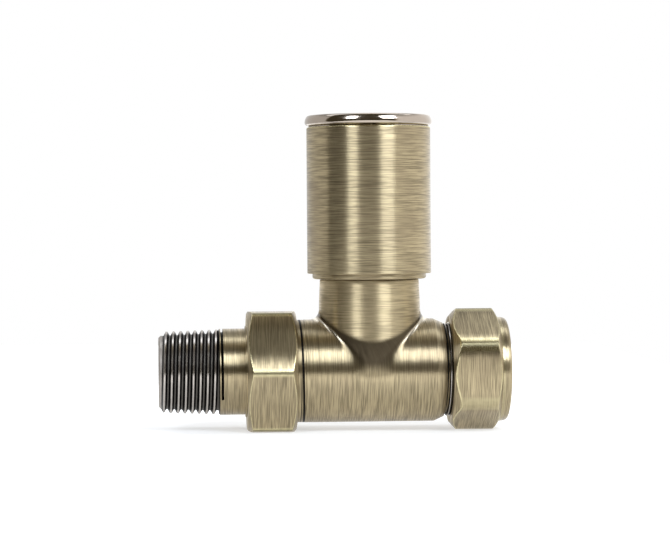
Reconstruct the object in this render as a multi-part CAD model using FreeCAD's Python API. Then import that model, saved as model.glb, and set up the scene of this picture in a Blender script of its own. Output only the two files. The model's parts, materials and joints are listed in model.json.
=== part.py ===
import FreeCAD, Part
import math
import os

V = FreeCAD.Vector

# Clearances, all radial
pipe_gap = 0.04
thread_gap = 0.06
slide_gap = 0.05
seal_gap = 0.01
olive_gap = 0.07
insert_gap = 0.03

# Standard bought sizes
pipe_d = 15.0
tail_thread_d = 20.955
union_thread_d = 26.3
inlet_thread_d = 23.85
headgear_flats = 20.0
key_flats = 12.5
washer_nut_flats = 7.0
drive_flats = 5.0

# Turned edges
thread_lead = 0.8
relief_width = 0.7
relief_depth = 1.0
edge_round = 0.25
fine_chamfer = 0.3

# Tee forging
run_proud = 0.05
neck_inset = 0.2
saddle_round = 2.5
outlet_land = 1.6
inlet_land = 0.8
shoulder_length = 2.4
shoulder_round = 1.5
shoulder_lip = 0.2
outlet_length = 8.9
inlet_length = 10.8
neck_taper = 0.3
neck_taper_length = 6.0
neck_taper_round = 60.0

# Waterway inside the tee
chamber_wall = 1.5
waterway_d = 12.5
waterway_length = 1.5
port_d = 15.0
deck_top = 1.0
deck_thickness = 4.0
orifice_d = 10.5
seat_land = 1.0
seat_rise = 1.0
well_d = 12.0
well_depth = 6.5
feed_d = 6.4
feed_drop = 3.1
rise_d = 7.0
rise_start = 3.0
rise_end = 7.0
rise_reach = 4.0
chamber_height = 11.0
headgear_ledge = 1.5
headgear_thread_length = 11.4
gasket_width = 1.1
gasket_thickness = 1.2

# Union tail and its nut
tail_thread_length = 15.3
tail_gauge = 8.2
tail_taper = 0.0625
tail_pitch = 1.814
tail_depth = 1.16
thread_clear = 0.2
tail_flank = 27.5
tail_root = 0.12
tail_land = 1.0
barrel_step = 0.5725
barrel_length = 9.8
flange_thickness = 3.1
nose_d = 17.0
nose_length = 4.0
nose_chamfer = 0.5
tail_bore_d = 12.0
key_depth = 12.0
tail_ring_d = 1.4
tail_ring_land = 1.2
union_nut_length = 12.6
union_nut_wall = 2.6
union_cheek = 1.85
union_boss = 0.6
union_boss_height = 0.4
union_turn = 1.5
union_face_inset = 0.15
chamfer_angle = 30.0

# Olive and compression nut
olive_angle = 35.0
olive_lip = 0.5
olive_wall = 1.64
olive_crown = 1.8
olive_bore_gap = 0.06
mouth_bite = 0.3
compression_show = 1.7
compression_spare = 1.5
compression_nose = 1.05
compression_cheek = 1.575
collar_length = 2.4
collar_taper = 0.3
collar_round = 1.4
compression_turn = 29.5
front_chamfer = 3.0
front_chamfer_length = 1.7

# Headgear and gland
shank_gap = 0.8
flange_lap = 1.0
headgear_flange = 1.6
headgear_hex_height = 5.0
gland_thread_d = 14.0
gland_neck = 8.0
packing_d = 11.0
packing_depth = 3.5
packing_height = 2.5
gland_spare = 0.4
gland_cheek = 1.5
gland_roof = 2.1
gland_lap = 5.0

# Spindle and jumper
lift = 4.5
lift_spare = 0.5
spindle_thread_d = 6.0
thrust_collar = 2.0
thrust_inset = 0.5
stem_d = 7.0
drive_length = 9.0
drive_gap = 0.05
stem_ring_d = 0.92
stem_ring_spare = 0.38
stem_ring_start = 2.5
stem_ring_pitch = 3.5
washer_lap = 0.25
washer_thickness = 2.5
washer_lip = 1.2
washer_cup_wall = 1.0
jumper_clear = 0.49
jumper_plate = 1.95
guide_flats = 11.0
guide_lap = 2.2
jumper_floor = 0.45
clip_thickness = 0.8
clip_depth = 0.6
clip_width = 1.8
clip_opening = 4.0
stud_d = 4.0
stud_tip = 0.4
washer_nut_height = 2.2

# Knob
knob_gap = 0.2
knob_clear = 1.05
knob_wall = 3.25
sleeve_length = 37.5
sleeve_top_round = 0.6
rim_step = 1.6
rim_height = 1.4
rim_round = 1.2
knob_ledge = 1.6
knob_ledge_height = 4.5
insert_stand = 0.6
insert_web = 1.9
insert_recess_d = 8.6
insert_deck = 2.4
insert_rim = 2.0
insert_hub_d = 12.0
insert_ribs = 6
insert_rib = 1.8
cap_groove = 0.5
cap_groove_inset = 0.4
cap_overhang = 0.45
cap_height = 2.8
cap_top_round = 1.5
cap_low_round = 0.7
cap_spigot = 3.7
head_room = 1.47
screw_d = 2.9
screw_head_d = 5.8
screw_head = 2.0
screw_head_round = 0.8
screw_length = 9.0
screw_slot = 0.8
screw_slot_depth = 0.9
screw_hole_spare = 0.5
lock_washer_d = 7.0
lock_washer = 0.4

# Stations along the run, from the spindle's axis
union_r = union_thread_d / 2
run_r = union_r + run_proud
neck_r = run_r - neck_inset
inlet_r = inlet_thread_d / 2
orifice_r = orifice_d / 2
washer_r = orifice_r + seat_land + washer_lap
cup_r = washer_r + seal_gap
chamber_r = cup_r + washer_cup_wall + jumper_clear
run_left = neck_r + saddle_round + outlet_land
run_right = neck_r + saddle_round + inlet_land + shoulder_length
outlet_end = -run_left - outlet_length
inlet_end = run_right + inlet_length
stop = chamber_r + chamber_wall + waterway_length
flange_face = outlet_end - flange_thickness
union_left = flange_face - union_nut_wall
union_right = union_left + union_nut_length
barrel_end = flange_face - barrel_length
tail_end = barrel_end - tail_thread_length

# Olive cone, shared by the tee's mouth and the nut
socket_r = pipe_d / 2 + pipe_gap
olive_cone = math.tan(math.radians(olive_angle))
olive_bore = pipe_d / 2 + olive_bore_gap
olive_r = olive_bore + olive_wall
olive_small = olive_bore + olive_lip
olive_taper = (olive_r - olive_small) / olive_cone
mouth_r = olive_r - mouth_bite
socket_end = inlet_end - (mouth_r - socket_r) / olive_cone
crown_left = inlet_end + (mouth_bite + olive_gap) / olive_cone
crown_right = crown_left + olive_crown
pocket_r = olive_r + olive_gap
pocket_end = crown_right + (pocket_r - olive_bore - slide_gap) / olive_cone
compression_left = run_right + compression_show
compression_right = pocket_end + compression_nose
collar_left = compression_right - collar_length

# Heights up the spindle, from the run's axis
deck_low = deck_top - deck_thickness
seat_top = deck_top + seat_rise
well_low = deck_low - well_depth
chamber_top = deck_top + chamber_height
neck_top = chamber_top + headgear_thread_length
headgear_bore_r = chamber_r + headgear_ledge
headgear_r = headgear_bore_r - thread_gap
headgear_low = chamber_top + shank_gap
flange_top = neck_top + headgear_flange
hex_top = flange_top + headgear_hex_height
gland_top = hex_top + gland_neck
packing_low = gland_top - packing_depth
packing_top = packing_low + packing_height
gasket_r = headgear_bore_r + gasket_width
gland_r = gland_thread_d / 2
gland_low = gland_top - gland_lap
gland_roof_low = gland_top + gland_spare
gland_nut_top = gland_roof_low + gland_roof
washer_top = seat_top + washer_thickness
plate_top = washer_top + jumper_plate
hole_floor = plate_top + jumper_floor
spindle_low = hole_floor + lift + lift_spare
guide_top = headgear_low + guide_lap
thrust_low = guide_top + lift + lift_spare
thrust_top = thrust_low + thrust_collar
lower_ring_height = thrust_top + stem_ring_start
upper_ring_height = lower_ring_height + stem_ring_pitch
rim_low = neck_top + knob_gap
sleeve_low = rim_low + rim_height
sleeve_top = sleeve_low + sleeve_length
ledge_low = sleeve_top - knob_ledge_height
head_top = sleeve_top - cap_spigot - head_room
head_low = head_top - screw_head
web_top = head_low - lock_washer
web_low = web_top - insert_web
drive_top = web_low - insert_gap
drive_base = drive_top - drive_length
insert_low = drive_base + insert_stand
cap_low = sleeve_top + cap_groove
cap_top = cap_low + cap_height
stem_r = stem_d / 2
headgear_flange_r = gasket_r + flange_lap
headgear_corner = headgear_flats / math.sqrt(3)
knob_bore_r = max(headgear_corner, headgear_flange_r) + knob_clear
knob_r = knob_bore_r + knob_wall
rim_r = knob_r - rim_step


def turned(corners, axis):
    """Solid of revolution through (along, radius, rounding) corners, about the run or the spindle."""
    if axis == "run":
        spots = [V(corner[0], 0, corner[1]) for corner in corners]
        line = V(1, 0, 0)
    else:
        spots = [V(corner[1], 0, corner[0]) for corner in corners]
        line = V(0, 0, 1)
    starts = []
    arcs = []
    ends = []
    for index, corner in enumerate(corners):
        here = spots[index]
        if len(corner) < 3:
            starts.append(here)
            arcs.append(None)
            ends.append(here)
            continue
        back = (spots[index - 1] - here).normalize()
        ahead = (spots[(index + 1) % len(spots)] - here).normalize()
        half = back.getAngle(ahead) / 2
        inward = (back + ahead).normalize()
        centre = here + inward * (corner[2] / math.sin(half))
        starts.append(here + back * (corner[2] / math.tan(half)))
        arcs.append(centre - inward * corner[2])
        ends.append(here + ahead * (corner[2] / math.tan(half)))
    edges = []
    for index, middle in enumerate(arcs):
        if middle:
            edges.append(Part.Arc(starts[index], middle, ends[index]).toShape())
        edges.append(Part.makeLine(ends[index], starts[(index + 1) % len(starts)]))
    return Part.Face(Part.Wire(edges)).revolve(V(0, 0, 0), line, 360)


def ring(low, high, inner, outer, axis):
    """Plain square-edged ring."""
    return turned([(low, inner), (high, inner), (high, outer), (low, outer)], axis)


def disc(low, high, radius, axis):
    """Plain round bar."""
    if axis == "run":
        return Part.makeCylinder(radius, high - low, V(low, 0, 0), V(1, 0, 0))
    return Part.makeCylinder(radius, high - low, V(0, 0, low), V(0, 0, 1))


def prism(sides, flats, low, high, axis, turn=0.0):
    """Bar with that many flats, its first corner turned up from the front."""
    reach = flats / 2 / math.cos(math.pi / sides)
    corners = []
    for step in range(sides + 1):
        angle = math.radians(turn) + 2 * math.pi * step / sides
        across = -reach * math.cos(angle)
        up = reach * math.sin(angle)
        corners.append(V(low, across, up) if axis == "run" else V(up, across, low))
    way = V(high - low, 0, 0) if axis == "run" else V(0, 0, high - low)
    return Part.Face(Part.makePolygon(corners)).extrude(way)


def helical_groove(start, end, root_r, depth):
    """Cutter for a right-hand taper thread along the run, opening out past the crests."""
    slope = math.degrees(math.atan(tail_taper / 2))
    helix = Part.makeHelix(tail_pitch, end - start, root_r, slope)
    reach = depth + thread_clear
    half_root = tail_root / 2
    half_open = half_root + reach * math.tan(math.radians(tail_flank))
    tool = Part.makePolygon(
        [
            V(root_r, 0, -half_root),
            V(root_r + reach, 0, -half_open),
            V(root_r + reach, 0, half_open),
            V(root_r, 0, half_root),
            V(root_r, 0, -half_root),
        ]
    )
    groove = Part.Wire(helix).makePipeShell([tool], True, True)
    groove.rotate(V(0, 0, 0), V(0, 1, 0), 90)
    groove.translate(V(start, 0, 0))
    return groove


def drilled(start, end, radius):
    """Slanted round passage between two points in the plane of both axes."""
    way = end - start
    return Part.makeCylinder(radius, way.Length, start, way)


def seal(height, ring_d, floor_r, axis):
    """Round-section sealing ring lying on a groove's floor."""
    centre = floor_r + seal_gap + ring_d / 2
    way = V(1, 0, 0) if axis == "run" else V(0, 0, 1)
    return Part.makeTorus(centre, ring_d / 2, way * height, way)


def whole(shape):
    """The single solid that a cut or a fuse leaves."""
    return shape.removeSplitter().Solids[0]


# Tee forging with its two threaded ends, saddle and crossing waterway
tee_run = turned(
    [
        (outlet_end, 0),
        (outlet_end, union_r - thread_lead),
        (outlet_end + thread_lead, union_r),
        (-run_left - relief_width, union_r),
        (-run_left - relief_width, union_r - relief_depth),
        (-run_left, union_r - relief_depth),
        (-run_left, run_r, edge_round),
        (run_right - shoulder_length, run_r, shoulder_round),
        (run_right, inlet_r + shoulder_lip),
        (run_right, inlet_r - relief_depth),
        (run_right + relief_width, inlet_r - relief_depth),
        (run_right + relief_width, inlet_r),
        (inlet_end - thread_lead, inlet_r),
        (inlet_end, inlet_r - thread_lead),
        (inlet_end, 0),
    ],
    "run",
)
tee_neck = turned(
    [
        (0, 0),
        (0, neck_r),
        (neck_top - neck_taper_length, neck_r, neck_taper_round),
        (neck_top, neck_r - neck_taper, edge_round),
        (neck_top, 0),
    ],
    "spindle",
)
tee = whole(tee_run.fuse(tee_neck))
saddle = [edge for edge in tee.Edges if edge.Curve.TypeId == "Part::GeomBSplineCurve"]
tee = tee.makeFillet(saddle_round, saddle)
port_r = port_d / 2
nose_r = nose_d / 2
port_end = -chamber_r - chamber_wall
pipe_way = turned(
    [
        (chamber_r + chamber_wall, 0),
        (chamber_r + chamber_wall, waterway_d / 2),
        (stop, waterway_d / 2),
        (stop, socket_r),
        (socket_end, socket_r),
        (inlet_end, mouth_r),
        (inlet_end, 0),
    ],
    "run",
)
radiator_way = turned(
    [
        (port_end, 0),
        (port_end, port_r),
        (outlet_end + nose_length + slide_gap, port_r),
        (outlet_end + nose_length + slide_gap, nose_r + slide_gap),
        (outlet_end, nose_r + slide_gap),
        (outlet_end, 0),
    ],
    "run",
)
spindle_way = turned(
    [
        (deck_top, 0),
        (deck_top, chamber_r),
        (chamber_top, chamber_r),
        (chamber_top, headgear_bore_r),
        (neck_top - gasket_thickness, headgear_bore_r),
        (neck_top - gasket_thickness, gasket_r),
        (neck_top, gasket_r),
        (neck_top, 0),
    ],
    "spindle",
)
seat = ring(deck_top, seat_top, orifice_r, orifice_r + seat_land, "spindle")
orifice = disc(deck_low, seat_top, orifice_r, "spindle")
well = disc(well_low, deck_low, well_d / 2, "spindle")
feed_start = V(stop, 0, -feed_drop)
feed = drilled(feed_start, V(0, 0, (well_low + deck_low) / 2), feed_d / 2)
rise_low = V(port_end - rise_d / 2, 0, rise_start)
rise = drilled(rise_low, V(-rise_reach, 0, rise_end), rise_d / 2)
valve_body = tee
for hollow in (pipe_way, radiator_way, spindle_way, well, feed, rise):
    valve_body = valve_body.cut(hollow)
valve_body = whole(valve_body.fuse(seat).cut(orifice))

# Union tail: radiator thread, plain barrel, clamped flange and sealing nose
barrel_r = tail_thread_d / 2 + barrel_step
thread_end = barrel_end - tail_land
tail_tip_r = tail_thread_d / 2 - tail_gauge * tail_taper / 2
tail_heel_r = tail_tip_r + (thread_end - tail_end) * tail_taper / 2
flange_r = union_r + thread_gap - slide_gap
nose_end = outlet_end + nose_length
groove_r = nose_r - tail_ring_d
groove_high = nose_end - tail_ring_land
groove_low = groove_high - tail_ring_d - seal_gap * 2
tail_ring_x = (groove_low + groove_high) / 2
union_tail = turned(
    [
        (tail_end, tail_bore_d / 2),
        (tail_end, tail_tip_r - thread_lead),
        (tail_end + thread_lead, tail_tip_r + thread_lead * tail_taper / 2),
        (thread_end, tail_heel_r),
        (barrel_end, tail_heel_r),
        (barrel_end, barrel_r, edge_round),
        (flange_face, barrel_r),
        (flange_face, flange_r, edge_round),
        (outlet_end, flange_r, edge_round),
        (outlet_end, nose_r),
        (groove_low, nose_r),
        (groove_low, groove_r),
        (groove_high, groove_r),
        (groove_high, nose_r),
        (nose_end - nose_chamfer, nose_r),
        (nose_end, nose_r - nose_chamfer),
        (nose_end, tail_bore_d / 2),
    ],
    "run",
)
key = prism(6, key_flats, tail_end, tail_end + key_depth, "run")
groove_start = tail_end - tail_pitch
groove_root = tail_tip_r - tail_depth - tail_pitch * tail_taper / 2
thread_groove = helical_groove(groove_start, thread_end - tail_pitch / 2, groove_root, tail_depth)
union_tail = whole(union_tail.cut(key).cut(thread_groove))
tail_o_ring = seal(tail_ring_x, tail_ring_d - slide_gap, groove_r, "run")

# Union nut: hexagon turned to a cone at both ends, with a raised ring round the tail
union_flats = union_thread_d + union_cheek * 2
union_corner = union_flats / math.sqrt(3)
union_face_r = union_flats / 2 - union_face_inset
union_cut = (union_corner - union_face_r) * math.tan(math.radians(chamfer_angle))
union_bore_r = union_r + thread_gap
union_barrel = turned(
    [
        (union_left, 0),
        (union_left, union_face_r),
        (union_left + union_cut, union_corner),
        (union_right - union_cut, union_corner),
        (union_right, union_face_r),
        (union_right, 0),
    ],
    "run",
)
union_hex = prism(6, union_flats, union_left, union_right, "run", union_turn)
union_hole_r = barrel_r + slide_gap
union_boss_r = union_hole_r + union_boss
boss = ring(union_left - union_boss_height, union_left, union_hole_r, union_boss_r, "run")
union_inside = turned(
    [
        (union_left, 0),
        (union_left, union_hole_r),
        (flange_face, union_hole_r),
        (flange_face, union_bore_r),
        (union_right - fine_chamfer, union_bore_r),
        (union_right, union_bore_r + fine_chamfer),
        (union_right, 0),
    ],
    "run",
)
union_nut = whole(union_hex.common(union_barrel).cut(union_inside).fuse(boss))

# Olive, a barrel-shaped ring coned at both ends
olive = turned(
    [
        (crown_left - olive_taper, olive_bore),
        (crown_right + olive_taper, olive_bore),
        (crown_right + olive_taper, olive_small),
        (crown_right, olive_r, edge_round),
        (crown_left, olive_r, edge_round),
        (crown_left - olive_taper, olive_small),
    ],
    "run",
)

# Compression nut: hexagon with a round collar, coned inside to press the olive
compression_flats = inlet_thread_d + compression_cheek * 2
compression_corner = compression_flats / math.sqrt(3)
collar_r = compression_flats / 2
collar_cut = (compression_corner - collar_r) * math.tan(math.radians(chamfer_angle))
compression_barrel = turned(
    [
        (compression_left, 0),
        (compression_left, compression_corner - front_chamfer),
        (compression_left + front_chamfer_length, compression_corner),
        (collar_left - collar_cut, compression_corner),
        (collar_left, collar_r),
        (collar_left, 0),
    ],
    "run",
)
compression_hex = prism(
    6, compression_flats, compression_left, collar_left, "run", compression_turn
)
compression_collar = turned(
    [
        (collar_left, 0),
        (collar_left, collar_r),
        (compression_right, collar_r - collar_taper, collar_round),
        (compression_right, 0),
    ],
    "run",
)
compression_bore_r = inlet_r + thread_gap
compression_step = inlet_end + compression_spare
compression_inside = turned(
    [
        (compression_left, 0),
        (compression_left, compression_bore_r + fine_chamfer),
        (compression_left + fine_chamfer, compression_bore_r),
        (compression_step, compression_bore_r),
        (compression_step, pocket_r),
        (crown_right, pocket_r),
        (pocket_end, olive_bore + slide_gap),
        (compression_right, olive_bore + slide_gap),
        (compression_right, 0),
    ],
    "run",
)
compression_nut = compression_hex.common(compression_barrel).fuse(compression_collar)
compression_nut = whole(compression_nut.cut(compression_inside))

# Headgear screwed into the neck on a flat gasket
headgear_gasket = ring(
    neck_top - gasket_thickness,
    neck_top,
    headgear_bore_r,
    gasket_r - seal_gap,
    "spindle",
)
stem_hole_r = stem_r + slide_gap
headgear = turned(
    [
        (headgear_low, stem_hole_r),
        (packing_low, stem_hole_r),
        (packing_low, packing_d / 2),
        (gland_top, packing_d / 2),
        (gland_top, gland_r - fine_chamfer),
        (gland_top - fine_chamfer, gland_r),
        (hex_top, gland_r),
        (hex_top, headgear_flats / 2),
        (flange_top, headgear_flats / 2),
        (flange_top, headgear_flange_r, edge_round),
        (neck_top, headgear_flange_r, edge_round),
        (neck_top, headgear_r),
        (headgear_low + thread_lead, headgear_r),
        (headgear_low, headgear_r - thread_lead),
    ],
    "spindle",
)
headgear_hex = prism(6, headgear_flats, flange_top, hex_top, "spindle")
headgear_hex = headgear_hex.cut(disc(flange_top, hex_top, gland_r, "spindle"))
guide_way = prism(6, guide_flats + slide_gap * 2, headgear_low, thrust_top, "spindle")
headgear = whole(headgear.fuse(headgear_hex).cut(guide_way))

# Gland: packing ring pressed down round the stem by a hexagon cap
gland_packing = ring(packing_low, packing_top, stem_hole_r, packing_d / 2 - seal_gap, "spindle")
gland_flats = gland_thread_d + gland_cheek * 2
gland_corner = gland_flats / math.sqrt(3)
gland_cut = (gland_corner - gland_flats / 2) * math.tan(math.radians(chamfer_angle))
gland_barrel = turned(
    [
        (gland_low, 0),
        (gland_low, gland_corner),
        (gland_nut_top - gland_cut, gland_corner),
        (gland_nut_top, gland_flats / 2),
        (gland_nut_top, 0),
    ],
    "spindle",
)
gland_nut = prism(6, gland_flats, gland_low, gland_nut_top, "spindle").common(gland_barrel)
gland_nut = gland_nut.cut(disc(gland_low, gland_roof_low, gland_r + thread_gap, "spindle"))
gland_pusher = disc(packing_top, gland_roof_low, packing_d / 2 - slide_gap, "spindle")
gland_nut = gland_nut.fuse(gland_pusher)
gland_nut = whole(gland_nut.cut(disc(packing_top, gland_nut_top, stem_hole_r, "spindle")))

# Jumper, the carrier that lifts the seat washer; its hexagon guide keeps it from turning
stud_r = stud_d / 2
nut_low = seat_top - washer_nut_height
jumper = turned(
    [
        (nut_low - stud_tip, 0),
        (nut_low - stud_tip, stud_r - fine_chamfer),
        (nut_low - stud_tip + fine_chamfer, stud_r),
        (washer_top, stud_r),
        (washer_top, cup_r),
        (washer_top - washer_lip, cup_r),
        (washer_top - washer_lip, cup_r + washer_cup_wall),
        (plate_top, cup_r + washer_cup_wall, edge_round),
        (plate_top, 0),
    ],
    "spindle",
)
jumper_guide = prism(6, guide_flats, plate_top, guide_top, "spindle")
jumper_hole = disc(hole_floor, guide_top, spindle_thread_d / 2 + thread_gap, "spindle")
jumper = whole(jumper.fuse(jumper_guide).cut(jumper_hole))
seat_washer = ring(seat_top, washer_top, stud_r + seal_gap, washer_r, "spindle")
washer_nut = prism(6, washer_nut_flats, nut_low, seat_top, "spindle")
washer_nut = whole(washer_nut.cut(disc(nut_low, seat_top, stud_r + thread_gap, "spindle")))

# Spindle that turns in place: left-hand thread, collar, ring grooves, clip groove, square drive
stem_floor_r = stem_r - stem_ring_d - seal_gap * 2
half_groove = (stem_ring_d + stem_ring_spare) / 2
spindle_thread_r = spindle_thread_d / 2
thrust_r = guide_flats / 2 - thrust_inset
clip_floor_r = stem_r - clip_depth
clip_top = gland_nut_top + clip_thickness
spindle = turned(
    [
        (spindle_low, 0),
        (spindle_low, spindle_thread_r - fine_chamfer),
        (spindle_low + fine_chamfer, spindle_thread_r),
        (thrust_low, spindle_thread_r),
        (thrust_low, thrust_r),
        (thrust_top, thrust_r),
        (thrust_top, stem_r),
        (lower_ring_height - half_groove, stem_r),
        (lower_ring_height - half_groove, stem_floor_r),
        (lower_ring_height + half_groove, stem_floor_r),
        (lower_ring_height + half_groove, stem_r),
        (upper_ring_height - half_groove, stem_r),
        (upper_ring_height - half_groove, stem_floor_r),
        (upper_ring_height + half_groove, stem_floor_r),
        (upper_ring_height + half_groove, stem_r),
        (gland_nut_top - seal_gap, stem_r),
        (gland_nut_top - seal_gap, clip_floor_r),
        (clip_top + seal_gap, clip_floor_r),
        (clip_top + seal_gap, stem_r),
        (drive_top - fine_chamfer, stem_r),
        (drive_top, stem_r - fine_chamfer),
        (drive_top, 0),
    ],
    "spindle",
)
drive_blank = ring(drive_base, drive_top, 0, stem_d, "spindle")
drive_square = prism(4, drive_flats, drive_base, drive_top, "spindle", 45)
spindle = spindle.cut(drive_blank.cut(drive_square))
screw_hole_r = screw_d / 2 + thread_gap
screw_tip = head_low - screw_length
screw_hole = disc(screw_tip - screw_hole_spare, drive_top, screw_hole_r, "spindle")
spindle = whole(spindle.cut(screw_hole))
spindle_o_ring_lower = seal(lower_ring_height, stem_ring_d, stem_floor_r, "spindle")
spindle_o_ring_upper = seal(upper_ring_height, stem_ring_d, stem_floor_r, "spindle")
clip_r = clip_floor_r + clip_width
spindle_clip = ring(gland_nut_top, clip_top, clip_floor_r + seal_gap, clip_r, "spindle")
clip_mouth = Part.makeBox(
    clip_r,
    clip_opening,
    clip_thickness,
    V(0, -clip_opening / 2, gland_nut_top),
)
spindle_clip = whole(spindle_clip.cut(clip_mouth))

# Knob: stepped sleeve, ribbed drive insert, screw and polished cap
ledge_r = knob_bore_r - knob_ledge
knob_sleeve = turned(
    [
        (rim_low, knob_bore_r, edge_round),
        (ledge_low, knob_bore_r),
        (ledge_low, ledge_r),
        (sleeve_top, ledge_r),
        (sleeve_top, knob_r, sleeve_top_round),
        (sleeve_low, knob_r, edge_round),
        (sleeve_low, rim_r),
        (rim_low, rim_r, rim_round),
    ],
    "spindle",
)
knob_insert = turned(
    [
        (insert_low, 0),
        (insert_low, knob_bore_r - insert_gap - fine_chamfer),
        (insert_low + fine_chamfer, knob_bore_r - insert_gap),
        (ledge_low, knob_bore_r - insert_gap),
        (ledge_low, insert_recess_d / 2),
        (web_top, insert_recess_d / 2),
        (web_top, screw_hole_r),
        (web_low, screw_hole_r),
        (web_low, 0),
    ],
    "spindle",
)
insert_square = prism(4, drive_flats + drive_gap * 2, insert_low, web_low, "spindle", 45)
pocket_top = ledge_low - insert_deck
pocket_outer = knob_bore_r - insert_gap - insert_rim
pocket = ring(insert_low, pocket_top, insert_hub_d / 2, pocket_outer, "spindle")
rib = Part.makeBox(
    pocket_outer,
    insert_rib,
    pocket_top - insert_low,
    V(0, -insert_rib / 2, insert_low),
)
for step in range(insert_ribs):
    turned_rib = rib.copy()
    turned_rib.rotate(V(0, 0, 0), V(0, 0, 1), 360 * step / insert_ribs)
    pocket = pocket.cut(turned_rib)
knob_insert = whole(knob_insert.cut(insert_square).cut(pocket))
lock_washer_ring = ring(web_top, head_low, screw_hole_r, lock_washer_d / 2, "spindle")
knob_screw = turned(
    [
        (screw_tip, 0),
        (screw_tip, screw_d / 2 - fine_chamfer),
        (screw_tip + fine_chamfer, screw_d / 2),
        (head_low, screw_d / 2),
        (head_low, screw_head_d / 2),
        (head_top, screw_head_d / 2, screw_head_round),
        (head_top, 0),
    ],
    "spindle",
)
slot_low = head_top - screw_slot_depth
slot = Part.makeBox(
    screw_head_d,
    screw_slot,
    screw_slot_depth,
    V(-screw_head_d / 2, -screw_slot / 2, slot_low),
)
knob_screw = whole(knob_screw.cut(slot))
cap_r = knob_r + cap_overhang
spigot_r = ledge_r - insert_gap
cap_stem_r = knob_r - cap_groove_inset
knob_cap = turned(
    [
        (sleeve_top - cap_spigot, 0),
        (sleeve_top - cap_spigot, spigot_r - fine_chamfer),
        (sleeve_top - cap_spigot + fine_chamfer, spigot_r),
        (sleeve_top, spigot_r),
        (sleeve_top, cap_stem_r),
        (cap_low, cap_stem_r),
        (cap_low, cap_r, cap_low_round),
        (cap_top, cap_r, cap_top_round),
        (cap_top, 0),
    ],
    "spindle",
)

nodes = {
    "valve_body": valve_body,
    "union_tail": union_tail,
    "tail_o_ring": tail_o_ring,
    "union_nut": union_nut,
    "olive": olive,
    "compression_nut": compression_nut,
    "headgear": headgear,
    "headgear_gasket": headgear_gasket,
    "gland_packing": gland_packing,
    "gland_nut": gland_nut,
    "jumper": jumper,
    "seat_washer": seat_washer,
    "washer_nut": washer_nut,
    "spindle": spindle,
    "spindle_o_ring_lower": spindle_o_ring_lower,
    "spindle_o_ring_upper": spindle_o_ring_upper,
    "spindle_clip": spindle_clip,
    "knob_sleeve": knob_sleeve,
    "knob_insert": knob_insert,
    "lock_washer": lock_washer_ring,
    "knob_screw": knob_screw,
    "knob_cap": knob_cap,
}

# The pipe's stop is the origin of every file
os.makedirs("parts", exist_ok=True)
for name, shape in nodes.items():
    placed = shape.copy()
    placed.translate(V(-stop, 0, 0))
    placed.exportStep(os.path.join("parts", name + ".step"))
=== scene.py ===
"""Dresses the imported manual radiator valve: turned brass, helical threads, finishes and a studio."""
import json
import math
from collections import namedtuple

import bmesh
import bpy
from bpy.props import FloatProperty, FloatVectorProperty, IntProperty, PointerProperty
from mathutils import Euler, Matrix, Vector


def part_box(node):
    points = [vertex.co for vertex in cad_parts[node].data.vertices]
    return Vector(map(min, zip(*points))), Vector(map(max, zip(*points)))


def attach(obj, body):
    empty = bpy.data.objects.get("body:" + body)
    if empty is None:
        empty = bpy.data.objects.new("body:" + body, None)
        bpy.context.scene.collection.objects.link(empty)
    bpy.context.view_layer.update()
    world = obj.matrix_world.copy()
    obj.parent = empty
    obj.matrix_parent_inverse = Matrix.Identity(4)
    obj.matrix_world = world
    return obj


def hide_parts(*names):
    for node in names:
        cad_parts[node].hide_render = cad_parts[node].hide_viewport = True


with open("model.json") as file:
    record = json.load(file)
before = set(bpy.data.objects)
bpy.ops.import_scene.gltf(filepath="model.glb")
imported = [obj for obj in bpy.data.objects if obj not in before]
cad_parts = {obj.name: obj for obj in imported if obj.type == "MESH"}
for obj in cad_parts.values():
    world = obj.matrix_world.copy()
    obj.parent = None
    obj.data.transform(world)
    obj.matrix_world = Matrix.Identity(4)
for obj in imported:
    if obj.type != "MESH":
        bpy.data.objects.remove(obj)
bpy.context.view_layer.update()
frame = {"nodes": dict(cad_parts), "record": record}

bl_info = {
    "name": "Radiator valve dressing",
    "version": (1, 0, 0),
    "blender": (4, 5, 0),
    "location": "View3D > Sidebar > Valve",
    "description": "Makes the visible pieces, finishes and stage of a manual radiator valve",
    "category": "Object",
}

MM = 0.001
SLEEVE_LOW, SLEEVE_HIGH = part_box("knob_sleeve")
CAP_LOW, CAP_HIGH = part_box("knob_cap")
TEE_LOW, TEE_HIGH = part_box("valve_body")
TAIL_LOW, TAIL_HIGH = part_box("union_tail")
UNION_LOW, UNION_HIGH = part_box("union_nut")
PRESS_LOW, PRESS_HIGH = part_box("compression_nut")
SPINDLE = (SLEEVE_LOW.x + SLEEVE_HIGH.x) / 2

# Hair lines of the brushing: lines to a millimetre across it, and how fast they change along it
FINE_LINES, FINE_DRIFT = 5.2, 0.15
BROAD_LINES, BROAD_DRIFT = 1.2, 0.05
RAGGED_LINES, RAGGED_DRIFT, RAGGED_SHIFT = 5.0, 0.14, 40
# How far the lines tilt the surface along the axis and round it
FINE_LEAN, RAGGED_SWAY = 0.09, 0.12
# Tones between which a hair line goes from dark to light
HAIR_RANGE = 0.38, 0.62
# Slope of the cones that take a hexagon's corners off, and millimetres over which the wear there fades
CONE_SLOPE = math.tan(math.radians(30))
WORN_EDGE = 0.05, 0.55

# Soft boxes: direction in degrees as seen from the valve, metres, and brightness
SoftBox = namedtuple("SoftBox", "name azimuth elevation distance width height glow")
SOFT_BOXES = (
    SoftBox("left_box", azimuth=-36.5, elevation=33.5, distance=1.3, width=0.39, height=0.58, glow=10.2),
    SoftBox("right_box", azimuth=34.5, elevation=33.5, distance=1.3, width=0.57, height=0.58, glow=11.4),
    SoftBox("top_box", azimuth=0, elevation=106, distance=1.2, width=1.4, height=0.9, glow=0.28),
    SoftBox("strip_box", azimuth=0, elevation=101, distance=1.2, width=2.4, height=0.32, glow=2.1),
)


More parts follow.
